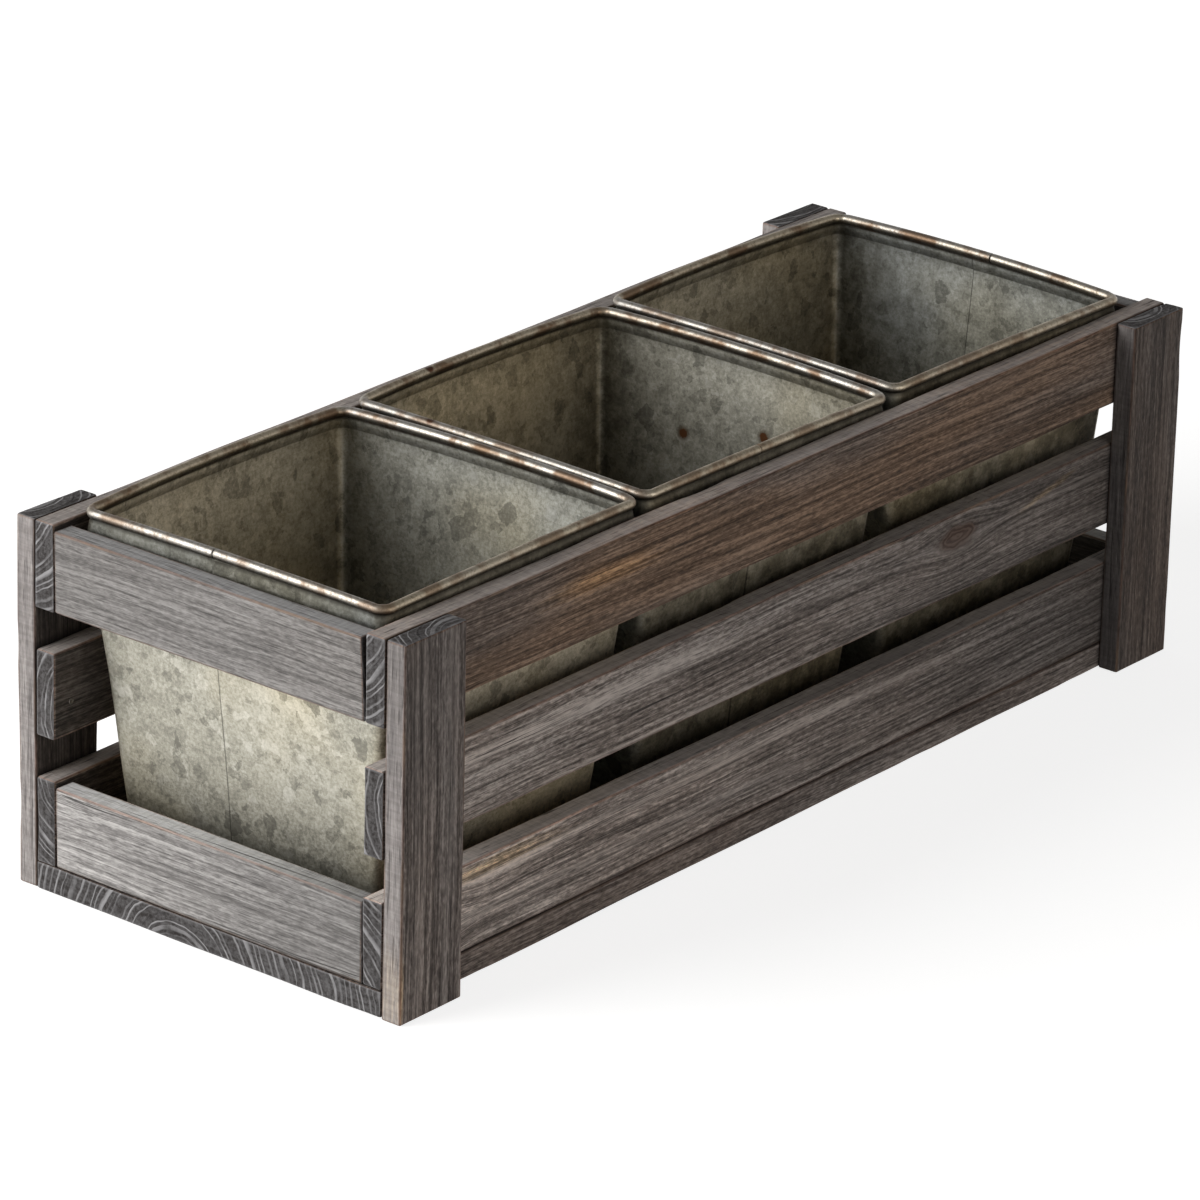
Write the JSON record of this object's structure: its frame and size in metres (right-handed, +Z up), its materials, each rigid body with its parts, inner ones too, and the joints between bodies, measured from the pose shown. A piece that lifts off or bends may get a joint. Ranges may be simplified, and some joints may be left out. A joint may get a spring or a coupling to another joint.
{
  "type": "herb planter",
  "caption": "Slatted weathered wooden crate that holds a row of square tapered galvanised buckets, which lift straight out, for growing herbs indoors.",
  "frame": {"origin": "under the middle of the crate, on the surface it stands on", "axes": "+X along the crate to the right bucket, +Y to the back side, +Z up"},
  "size_m": [0.4054, 0.16, 0.131],
  "materials": {
    "post_wood": "weathered grey-brown stain",
    "slat_wood": "weathered grey-brown stain",
    "end_wood": "weathered grey stain",
    "board_wood": "weathered grey-brown stain",
    "galvanised_sheet": "aged galvanised spangle",
    "rim_wire_steel": "drawn wire",
    "brad_steel": "bright wire"
  },
  "bodies": {
    "crate": {"post_front_left": "post_wood", "post_front_right": "post_wood", "post_back_left": "post_wood", "post_back_right": "post_wood", "slat_front_bottom": "slat_wood", "slat_front_middle": "slat_wood", "slat_front_top": "slat_wood", "slat_back_bottom": "slat_wood", "slat_back_middle": "slat_wood", "slat_back_top": "slat_wood", "end_slat_left_bottom": "end_wood", "end_slat_left_top": "end_wood", "end_slat_right_bottom": "end_wood", "end_slat_right_top": "end_wood", "bottom_board": "board_wood", "post_brads": "brad_steel", "end_brads": "brad_steel", "bottom_brads": "brad_steel"},
    "bucket_left": {"bucket_left_wall": "galvanised_sheet", "bucket_left_base": "galvanised_sheet", "bucket_left_rim_wire": "rim_wire_steel"},
    "bucket_middle": {"bucket_middle_wall": "galvanised_sheet", "bucket_middle_base": "galvanised_sheet", "bucket_middle_rim_wire": "rim_wire_steel"},
    "bucket_right": {"bucket_right_wall": "galvanised_sheet", "bucket_right_base": "galvanised_sheet", "bucket_right_rim_wire": "rim_wire_steel"}
  },
  "joints": [
    {"name": "bucket_left_lift", "type": "slide", "parent": "crate", "child": "bucket_left", "axis": [0, 0, 1], "range_m": [0, 0.13]},
    {"name": "bucket_middle_lift", "type": "slide", "parent": "crate", "child": "bucket_middle", "axis": [0, 0, 1], "range_m": [0, 0.13]},
    {"name": "bucket_right_lift", "type": "slide", "parent": "crate", "child": "bucket_right", "axis": [0, 0, 1], "range_m": [0, 0.13]}
  ]
}
